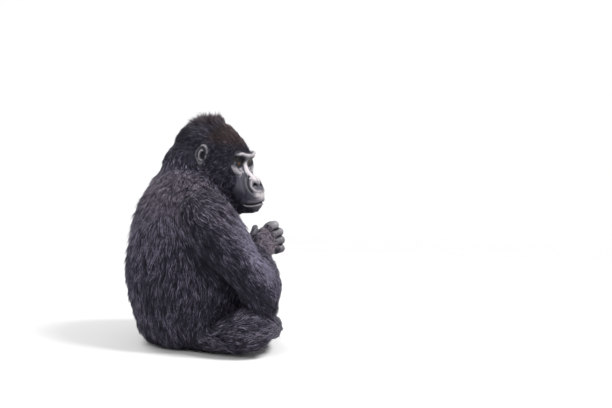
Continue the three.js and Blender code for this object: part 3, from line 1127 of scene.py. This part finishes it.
def lightness(points, normals, local, kinds):
    """How light the coat's hairs are, with painted light: lighter over the top of the trunk and upper arms
    and on the sides that face forward, with painted shade on the cheeks and in the creases.
    """
    _, forward, up = local.T
    high = points[:, 2]
    # Painted highlight on the sides that face forward
    ahead = step(-0.15, 0.65, -normals[:, 1])
    arm_front = 22.0 * ahead * step(0.47, 0.38, high) * step(0.20, 0.33, high)
    cheek = (kinds == "head") * step(0.03, 0.0, up) * step(0.0, 0.04, forward)
    shade = np.array([SHADE[kind] for kind in kinds])
    # Lighter on the top of the trunk and upper arms: painted light from above
    shade = shade * np.where(kinds == "trunk", 1 + 2.2 * step(0.34, 0.46, high), 1.0)
    shade = shade * np.where(kinds == "upper_arm", 1 + 2.2 * step(0.38, 0.47, high) + arm_front, 1.0)
    shade = shade * np.where(kinds == "forearm", 1.1 + 1.8 * ahead, 1.0)
    return shade * (1 - 0.15 * cheek) * (1 - 0.85 * creases(points, kinds))


def unwrap(skin):
    """The skin's own unwrap, on which every tuft has its root's place."""
    layer = skin.data.uv_layers.new(name="OFBake")
    skin.data.uv_layers.active = layer
    bpy.context.view_layer.objects.active = skin
    skin.select_set(True)
    bpy.ops.object.mode_set(mode="EDIT")
    bpy.ops.mesh.select_all(action="SELECT")
    bpy.ops.uv.smart_project(angle_limit=math.radians(70), island_margin=0.001)
    bpy.ops.object.mode_set(mode="OBJECT")
    skin.select_set(False)


local = head.inside(points)
rust, umber = browns(local, kinds, points[:, 2])
markings = {
    "rust": relaxed(rust, edges, 0.5, 8),
    "umber": relaxed(umber, edges, 0.5, 20),
    "shade": relaxed(lightness(points, normals, local, kinds), edges, 0.5, 24),
}
for name, values in {"bare": bare, **markings, "pale": pale, "dark": dark}.items():
    mark(mesh, name, values)
skin = piece("skin", mesh, skin_finish(), "bare_skin", *FLESH)
unwrap(skin)


# ---------------------------------------------------------------- the coat
LOCK = 9  # tufts in a lock
LOCK_REACH = 0.013  # how far from its middle a lock gathers tufts
ROOT_DEPTH = 0.0015  # how deep a tuft is rooted in the skin
GUARD = 0.30  # share of tufts that are guard hairs, over the undercoat
# Length, rise and width of guard hairs and undercoat, as shares of the coat's own
GUARD_LENGTH, UNDER_LENGTH = (0.85, 1.25), (0.5, 0.9)
GUARD_RISE, UNDER_RISE = (0.75, 1.15), (0.35, 0.8)
GUARD_WIDTH, UNDER_WIDTH = 0.8, 1.15
# A tuft's two rings: their place from its root to its tip, and their share of its width
TUFT_RINGS = ((0.0, 1.0), (0.5, 0.8))
RING = ((-0.5, 0.0), (0.5, 0.0), (0.0, 0.45))  # a ring's corners, across and up, in widths
PATCH = 0.0015  # half a tuft's patch of the unwrap, whose whole side is 1


class Coat:
    """The skin as the tufts are rooted on it: its corners, faces, unwrap and tree."""

    def __init__(self, mesh):
        self.points, self.normals = read_points(mesh), read_normals(mesh)
        self.faces = read(mesh.polygons, "vertices", 3, int)
        self.uv = read(mesh.uv_layers["OFBake"].data, "uv", 2).reshape(-1, 3, 2)
        a, b, c = (self.points[self.faces[:, k]] for k in range(3))
        self.area = np.linalg.norm(np.cross(b - a, c - a), axis=1) / 2
        self.tree = BVHTree.FromPolygons(self.points.tolist(), self.faces.tolist())

    def on_skin(self, spots):
        """The skin's nearest place and outward direction for each spot."""
        found = [self.tree.find_nearest(p) for p in spots.tolist()]
        return np.array([f[0] for f in found]), np.array([f[1] for f in found])

    def roots(self, density):
        """Random places on the skin, as faces and weights of their corners."""
        each = density[self.faces].mean(axis=1) * self.area
        count = int(each.sum())
        face = rng.choice(len(self.faces), count, p=each / each.sum())
        weights = rng.dirichlet((1, 1, 1), count)
        return face, weights

    def at(self, values, face, weights):
        """The skin's values read at each root."""
        at_corners = values[self.faces[face]]
        if at_corners.ndim == 2:
            return (at_corners * weights).sum(axis=1)
        return (at_corners * weights[:, :, None]).sum(axis=1)


def in_locks(root, middle, tip, share):
    """Draws neighbouring tips together into locks, and returns each tuft's leader."""
    leaders = rng.choice(len(root), len(root) // LOCK, replace=False)
    tree = KDTree(len(leaders))
    for index, spot in enumerate(root[leaders].tolist()):
        tree.insert(spot, index)
    tree.balance()
    found = [tree.find(spot)[1:] for spot in root.tolist()]
    lead = leaders[[f[0] for f in found]]
    far = np.array([f[1] for f in found])
    share = (share * step(LOCK_REACH, 0.6 * LOCK_REACH, far))[:, None]
    offset = root - root[lead]
    tip = mix(tip, tip[lead] + 0.25 * offset, share)
    middle = mix(middle, middle[lead] + 0.75 * offset, 0.8 * share)
    return middle, tip, lead


def tuft_corners(start, middle, tip, normal, wide):
    """Each tuft's seven corners: two rings of three along its bend, and its tip."""
    rings = []
    for share, thick in TUFT_RINGS:
        at = (1 - share) ** 2 * start + 2 * share * (1 - share) * middle + share**2 * tip
        ahead = unit((1 - share) * (middle - start) + share * (tip - middle))
        up = unit(normal - ahead * np.sum(normal * ahead, axis=1, keepdims=True))
        across = np.cross(ahead, up)
        for a, u in RING:
            rings.append(at + across * (a * thick * wide)[:, None] + up * (u * thick * wide)[:, None])
    rings.append(tip)
    places = np.stack(rings, axis=1)
    places[:, :, 2] = np.maximum(places[:, :, 2], TUFT_CLEAR)
    return places


def tufts(coat, fields):
    """All tufts of the coat: their corners, patches of the unwrap, nodes and marks."""
    face, weights = coat.roots(fields["density"])
    count = len(face)

    def at_roots(values):
        return coat.at(values, face, weights)

    def drawn(guards, under):
        """A random share for each tuft, from the guard hairs' range or the undercoat's."""
        return np.where(guard, rng.uniform(*guards, count), rng.uniform(*under, count))

    root = at_roots(coat.points)
    normal = unit(at_roots(coat.normals))
    flow = unit(at_roots(fields["lie"]))
    side = np.cross(normal, flow)
    turn = 0.22 * rng.normal(size=count) + 0.30 * wander(root, 70, 1) + 0.20 * wander(root, 210, 2)
    flow = flow * np.cos(turn)[:, None] + side * np.sin(turn)[:, None]
    guard = rng.random(count) < GUARD
    reach = at_roots(fields["length"]) * drawn(GUARD_LENGTH, UNDER_LENGTH)
    lift = at_roots(fields["rise"]) * (1 + 0.35 * wander(root, 260, 3)) * drawn(GUARD_RISE, UNDER_RISE)
    upright = at_roots(fields["upright"])
    reach = reach * (1 + 0.35 * upright * wander(root, 160, 5))

    # Where the hair lies, it follows the skin; where it is upright, it stands its own way
    half_place, half_normal = coat.on_skin(root + flow * (reach * 0.5)[:, None])
    tip_place, tip_normal = coat.on_skin(root + flow * reach[:, None])
    middle = half_place + half_normal * (lift * 0.75)[:, None]
    tip = tip_place + tip_normal * lift[:, None]
    stand = upright[:, None]
    standing = unit(flow * (1 - stand) + at_roots(fields["stands"]) * (stand * 1.6))
    middle = mix(middle, root + standing * (reach * 0.5)[:, None], stand)
    tip = mix(tip, root + standing * reach[:, None] + rng.normal(size=root.shape) * 0.003, stand)
    middle, tip, lead = in_locks(root, middle, tip, at_roots(fields["gather"]))

    wide = at_roots(fields["width"]) * rng.uniform(0.7, 1.2, count)
    wide = wide * np.where(guard, GUARD_WIDTH, UNDER_WIDTH)
    places = tuft_corners(root - normal * ROOT_DEPTH, middle, tip, normal, wide)
    patch = (coat.uv[face] * weights[:, :, None]).sum(axis=1)
    nodes = fields["node"][coat.faces[face, weights.argmax(axis=1)]]

    # Guard hairs are of every lightness over a dark undercoat, and locks differ from each other; the painted
    # light and shade of the skin's marks scales them
    light = np.where(guard, rng.beta(1.1, 1.5, count), 0.12 * rng.random(count))
    shade = at_roots(fields["shade"])
    light = light * (1 + 0.5 * wander(root, 45, 4)) * shade + 0.08 * np.maximum(shade - 1.2, 0)
    light = light * rng.uniform(0.3, 1.7, count)[lead]
    marks = {
        "rust": at_roots(fields["rust"]),
        "umber": at_roots(fields["umber"]),
        "tone": np.clip(light, 0, 1),
    }
    return places, patch, nodes, marks


# One tuft's triangles, over its two rings of three corners and its tip: the root's cap, the band
# between the rings, and the point
TUFT_FACES = np.array(
    [(0, 1, 2)]
    + [face for k in range(3) for face in ((k, k + 3, (k + 1) % 3 + 3), (k, (k + 1) % 3 + 3, (k + 1) % 3))]
    + [(k + 3, 6, (k + 1) % 3 + 3) for k in range(3)]
)
# Each corner's place in the tuft's patch of the unwrap, and how light it is from root to tip
TUFT_PATCH = np.array([(-1, -1), (1, -1), (0, -1), (-1, 0.3), (1, 0.3), (0, 0.3), (0, 1)]) * PATCH
TUFT_TONE = np.array([0.15] * 3 + [0.8] * 3 + [1.6])


def tuft_mesh(name, places, patch, marks):
    """Joins tufts into one mesh with their patches of the unwrap and their marks."""
    count, each = places.shape[:2]
    faces = (TUFT_FACES[None] + (np.arange(count) * each)[:, None, None]).reshape(-1, 3)
    mesh = bpy.data.meshes.new(name)
    mesh.vertices.add(count * each)
    mesh.vertices.foreach_set("co", places.ravel())
    mesh.loops.add(faces.size)
    mesh.loops.foreach_set("vertex_index", faces.ravel())
    mesh.polygons.add(len(faces))
    mesh.polygons.foreach_set("loop_start", np.arange(0, faces.size, 3))
    mesh.update()
    layer = mesh.uv_layers.new(name="OFBake")
    uv = np.clip(patch[:, None] + TUFT_PATCH[None], 0, 1)[:, TUFT_FACES.ravel()]
    layer.data.foreach_set("uv", uv.ravel())
    for key, values in marks.items():
        spread = np.repeat(values[:, None], each, axis=1)
        if key == "tone":
            spread = spread * TUFT_TONE[None]
        mark(mesh, key, spread.ravel())
    return mesh


def elbow_hair(points, normals, kinds):
    """1 on the long hair that hangs under the elbows."""
    elbow = np.zeros(len(points))
    for side in SIDES:
        joint = meeting(f"forearm_{side}", f"upper_arm_{side}")
        near = step(0.13, 0.05, np.linalg.norm(points - joint, axis=1))
        elbow = np.maximum(elbow, near * np.isin(kinds, ("forearm", "upper_arm")))
    return elbow * step(0.15, -0.55, normals[:, 2])


def coat_fields():
    """What the tufts read from each corner of the skin: where they grow, how long, and which way."""
    on_head = kinds == "head"
    cheek = on_head * step(0.035, 0.0, local[:, 2]) * step(-0.02, 0.04, local[:, 1])
    by_ear = np.maximum(*(close_to(name, points, 0.022) for name in EARS))
    by_ear = step(0.2, 0.8, by_ear) * on_head
    elbow = elbow_hair(points, normals, kinds)

    # Shorter towards bare skin, on the cheeks and round the ears, and longer on crown and elbows
    density = coat_table(owner, DENSITY) * SQUARE_METRE * step(0.004, -0.004, margin)
    length = coat_table(owner, LENGTH) * (1 - 0.6 * step(-0.045, 0.004, margin))
    length = length * (1 - 0.25 * cheek) * (1 - 0.5 * by_ear)
    rise = np.clip(room, 0.0015, 0.030) * 0.95 * (1 - 0.5 * by_ear)
    smooth = np.where(np.isin(kinds, ("hand", "foot")), 0.1, 0.5)
    width = relaxed(coat_table(owner, WIDTH), edges, 0.5, 8)
    hanging = np.array([0, 0, -1.0]) + 0.15 * normals
    return {
        "density": density * (1 + 0.4 * crown + 0.35 * cheek),
        "length": relaxed(length + 0.012 * crown + 0.028 * elbow, edges, 0.5, 12),
        "rise": relaxed(rise, edges, smooth, 20),
        "width": width * (1 - 0.5 * step(-0.03, 0.004, margin)),
        "upright": relaxed(np.maximum(0.9 * crown, 0.95 * elbow), edges, 0.5, 6),
        "stands": np.where(elbow[:, None] > 0, hanging, normals),
        "gather": np.where(on_head, 0.35, 0.5) * (1 - 0.6 * cheek),
        "lie": lie,
        "node": owner,
        **markings,
    }


# The parts of a limb whose tufts go into one piece
LIMBS = {"arm": ("upper_arm",), "forearm": ("forearm", "hand"), "leg": ("thigh", "shin", "foot")}
CROWN_UP = 0.020  # where the crown's piece begins, in the head's axes


def lay_coat(root, nodes):
    """Which tufts go into each piece of the coat, by their roots' places and nodes."""

    def of(*names):
        return np.isin(nodes, [FLESH.index(name) for name in names])

    yield "coat_neck", of("neck")
    for limb, parts in LIMBS.items():
        for side in SIDES:
            yield f"coat_{limb}_{side}", of(*(f"{part}_{side}" for part in parts))
    on_head = of("head", *EARS)
    high = head.inside(root)[:, 2] > CROWN_UP
    yield "coat_crown", on_head & high
    yield "coat_cheeks", on_head & ~high
    on_trunk = of("trunk")
    back = root[:, 1] > centre("trunk")[1]
    for side, half in zip(SIDES, (root[:, 0] < 0, root[:, 0] >= 0)):
        yield f"coat_back_{side}", on_trunk & back & half
        yield f"coat_front_{side}", on_trunk & ~back & half


coat = Coat(mesh)
hair = coat_finish()
places, patch, nodes, marks = tufts(coat, coat_fields())
for name, chosen in lay_coat(places[:, 0], nodes):
    own_marks = {key: values[chosen] for key, values in marks.items()}
    piece(name, tuft_mesh(name, places[chosen], patch[chosen], own_marks), hair, "coat")


# ---------------------------------------------------------------- eyes
# The eye's colours, from its white in to its pupil
EYE_RINGS = [
    (0.0, (0.006, 0.004, 0.004)),
    (0.30, (0.020, 0.010, 0.007)),
    (0.42, (0.006, 0.003, 0.002)),
    (0.50, (0.060, 0.024, 0.009)),
    (0.70, (0.205, 0.088, 0.031)),
    (0.86, (0.13, 0.052, 0.018)),
    (0.91, (0.0015, 0.0015, 0.0015)),
]
RINGS_START, RINGS_SPREAD = 0.70, 3.4  # where they begin, as a cosine from the gaze, and how they widen
GAZE = Vector(head.turn(unit((0, 1, -0.12))))
CORNEA, BULGE = 0.82, 0.07  # where the cornea begins along the gaze, and how far it stands out, in radii


def eye_finish(name):
    f = Finish.named(name)
    place = f.place()
    offset = f.vector("SUBTRACT", place, Vector(centre(name)))
    ring = f.vector("DOT_PRODUCT", offset, GAZE, output=1) / f.vector("LENGTH", offset, output=1)
    rays = f.noise(place, 900.0, 2.0)
    rings = (ring - RINGS_START) * RINGS_SPREAD + 0.05 * rays - 0.03  # uneven, as an iris is
    return f.close(
        Base_Color=f.node("ShaderNodeValToRGB", {"stops": EYE_RINGS}, {0: rings}),
        Roughness=0.3,
        Specular_IOR_Level=0.05,
        Coat_Weight=0.2,
        Coat_Roughness=0.02,
        Coat_IOR=1.36,
    )


def eyeball(name):
    """An eyeball with its cornea standing out along the gaze."""
    radius = eye_radius(name)
    bm = bmesh.new()
    bmesh.ops.create_uvsphere(bm, u_segments=40, v_segments=24, radius=radius)
    for v in bm.verts:
        lift = max(v.co.z / radius - CORNEA, 0) / (1 - CORNEA)
        v.co *= 1 + BULGE * lift * (2 - lift)
    turn = Vector((0, 0, 1)).rotation_difference(GAZE).to_matrix()
    bmesh.ops.transform(bm, matrix=turn.to_4x4(), verts=bm.verts)
    bmesh.ops.translate(bm, vec=Vector(centre(name)), verts=bm.verts)
    ball = mesh_from(in_order(bm), name)
    return piece(name.replace("eye", "eyeball"), ball, eye_finish(name), "eye", name)


for name in EYES:
    eyeball(name)


# ---------------------------------------------------------------- nails
NAIL = 0.0011  # a nail's thickness
NAIL_WIDE, NAIL_LONG = 0.72, 0.62  # half its width and length, in radii of its digit
NAIL_BEND = 0.85  # how far it turns round the digit to each side, in radians
NAIL_PLACE = 0.62  # its middle's place along the last bone
NAIL_STANDS = 0.0009  # how far it stands over the skin
NAIL_SEARCH = 0.04  # how far outside the digit its place on the skin is looked for


def horn_finish():
    f = Finish.named("nail")
    streaks = f.noise(f.place(), 220.0, 3.0, 0.6)
    colour = f.colour_mix(HORN_DARK, HORN_PALE, streaks)
    return f.close(Base_Color=colour, Roughness=0.32 + 0.2 * streaks, Specular_IOR_Level=0.5)


def nail(bm, chain, radius):
    """One curved nail plate over the last bone of a digit, where the skin can be reached from outside."""
    at, way, outer, bone = chain[-1]
    above = Vector(at + way * (bone * NAIL_PLACE) + outer * NAIL_SEARCH)
    spot, *_ = coat.tree.ray_cast(above, Vector(-outer), 1.5 * NAIL_SEARCH)
    if spot is None:
        return
    made = bmesh.ops.create_grid(bm, x_segments=8, y_segments=8, size=1.0)["verts"]
    for v in made:
        x, y, _ = v.co
        turn = x * math.sqrt(1 - 0.32 * y * y) * NAIL_BEND
        rise = (math.cos(turn) - 1) * radius * NAIL_WIDE - 0.0008 * y * y
        v.co = (math.sin(turn) * radius * NAIL_WIDE, y * radius * NAIL_LONG, rise)
    faces = list(dict.fromkeys(face for v in made for face in v.link_faces))
    plate = bmesh.ops.solidify(bm, geom=faces, thickness=NAIL)["geom"]
    added = [v for part in plate if isinstance(part, bmesh.types.BMFace) for v in part.verts]
    solid = list(dict.fromkeys(made + added))
    turned = Matrix((np.cross(way, outer), way, outer)).transposed().to_4x4()
    place = Matrix.Translation(spot + Vector(outer) * NAIL_STANDS)
    bmesh.ops.transform(bm, matrix=place @ turned, verts=solid)
    below = min(v.co.z for v in solid)
    bmesh.ops.translate(bm, vec=(0, 0, max(NAIL_CLEAR - below, 0)), verts=solid)


def nails(name, grip, finish):
    """The nails of one hand or foot, as one piece."""
    bm = bmesh.new()
    for chain, radius in grip.digits():
        nail(bm, chain, radius)
    bmesh.ops.recalc_face_normals(bm, faces=bm.faces)
    return piece("nails_" + name, mesh_from(in_order(bm), "nails_" + name), finish, "bare_skin")


horn = horn_finish()
for name, grip in grips.items():
    nails(name, grip, horn)


# ---------------------------------------------------------------- room, lamps and camera
VIEW_TURN, VIEW_RISE = 255, 6  # the camera's way round the model and its height, in degrees
VIEW_FAR = 7.0
VIEW_LENS, VIEW_FILM = 124.8, 36.0  # in millimetres
VIEW_AIM = (0.0, 0.0372, 0.0)
VIEW_RIGHT, VIEW_UP = 0.3762, 0.4571  # how far beside and above the aim the view's middle lies

FLOOR_HALF = 14.0
FLOOR_FADE = (1.0, 3.2)  # from the middle, where the floor begins to fade and where it is gone

# Lamps: the way round and the height in degrees, the distance, the width and the watts
LAMPS = {
    "key": (318, 48, 4.0, 1.6, 190),
    "fill": (232, 30, 4.0, 2.6, 60),
    "rim": (120, 50, 4.0, 2.0, 80),
}
LAMP_AIM = (0, 0, 0.4)


def way_out(turn, rise):
    """The direction from the model to a place round it, by its way round and height in degrees."""
    turn, rise = math.radians(turn), math.radians(rise)
    return Vector((math.sin(turn) * math.cos(rise), -math.cos(turn) * math.cos(rise), math.sin(rise)))


def stage():
    """A pale floor that fades out round the model."""
    bm = bmesh.new()
    bmesh.ops.create_grid(bm, x_segments=1, y_segments=1, size=FLOOR_HALF)
    mesh = mesh_from(bm, "floor")
    f = Finish.named("floor")
    far = f.vector("LENGTH", f.place(), output=1)
    near, gone = FLOOR_FADE
    fade = f.node(
        "ShaderNodeMapRange", {"interpolation_type": "SMOOTHSTEP"},
        {"Value": far, "From Min": near, "From Max": gone, "To Min": 1.0, "To Max": 0.0},
    )
    mesh.materials.append(f.close(Base_Color=(0.82, 0.82, 0.82, 1), Roughness=0.9, Alpha=fade))
    placed("floor", mesh)


def lamp(name, turn, rise, far, size, watts):
    """A round lamp that looks at the model."""
    data = bpy.data.lights.new(name, "AREA")
    data.shape, data.size, data.energy = "DISK", size, watts
    back = way_out(turn, rise)
    made = placed(name, data)
    made.location = Vector(LAMP_AIM) + back * far
    made.rotation_euler = back.to_track_quat("Z", "Y").to_euler()


def world():
    """White air that shines on the model more softly than it is seen."""
    made = bpy.data.worlds.new("studio")
    made.use_nodes = True
    made.node_tree.nodes.clear()
    f = Finish(made.node_tree)
    rays = ("Is Camera Ray", "Is Glossy Ray", "Is Transmission Ray")
    seen, glossy, through = (f.node("ShaderNodeLightPath", output=ray) for ray in rays)
    strength = 0.45 + 0.55 * (seen + glossy + through).at_most(1.0)
    air = f.node("ShaderNodeBackground", None, {"Color": (1, 1, 1, 1), "Strength": strength})
    f.node("ShaderNodeOutputWorld", None, {"Surface": air})
    bpy.context.scene.world = made


def camera():
    back = way_out(VIEW_TURN, VIEW_RISE)
    right = Vector((math.cos(math.radians(VIEW_TURN)), math.sin(math.radians(VIEW_TURN)), 0))
    up = back.cross(right)
    data = bpy.data.cameras.new("camera")
    data.lens, data.sensor_width = VIEW_LENS, VIEW_FILM
    aim = Vector(VIEW_AIM) + right * VIEW_RIGHT + up * VIEW_UP
    turned = Matrix((right, up, back)).transposed().to_4x4()
    made = placed("camera", data)
    made.matrix_world = Matrix.Translation(aim + back * VIEW_FAR) @ turned
    bpy.context.scene.camera = made


stage()
world()
for name, settings in LAMPS.items():
    lamp(name, *settings)
camera()
bpy.context.scene.view_settings.view_transform = "Standard"
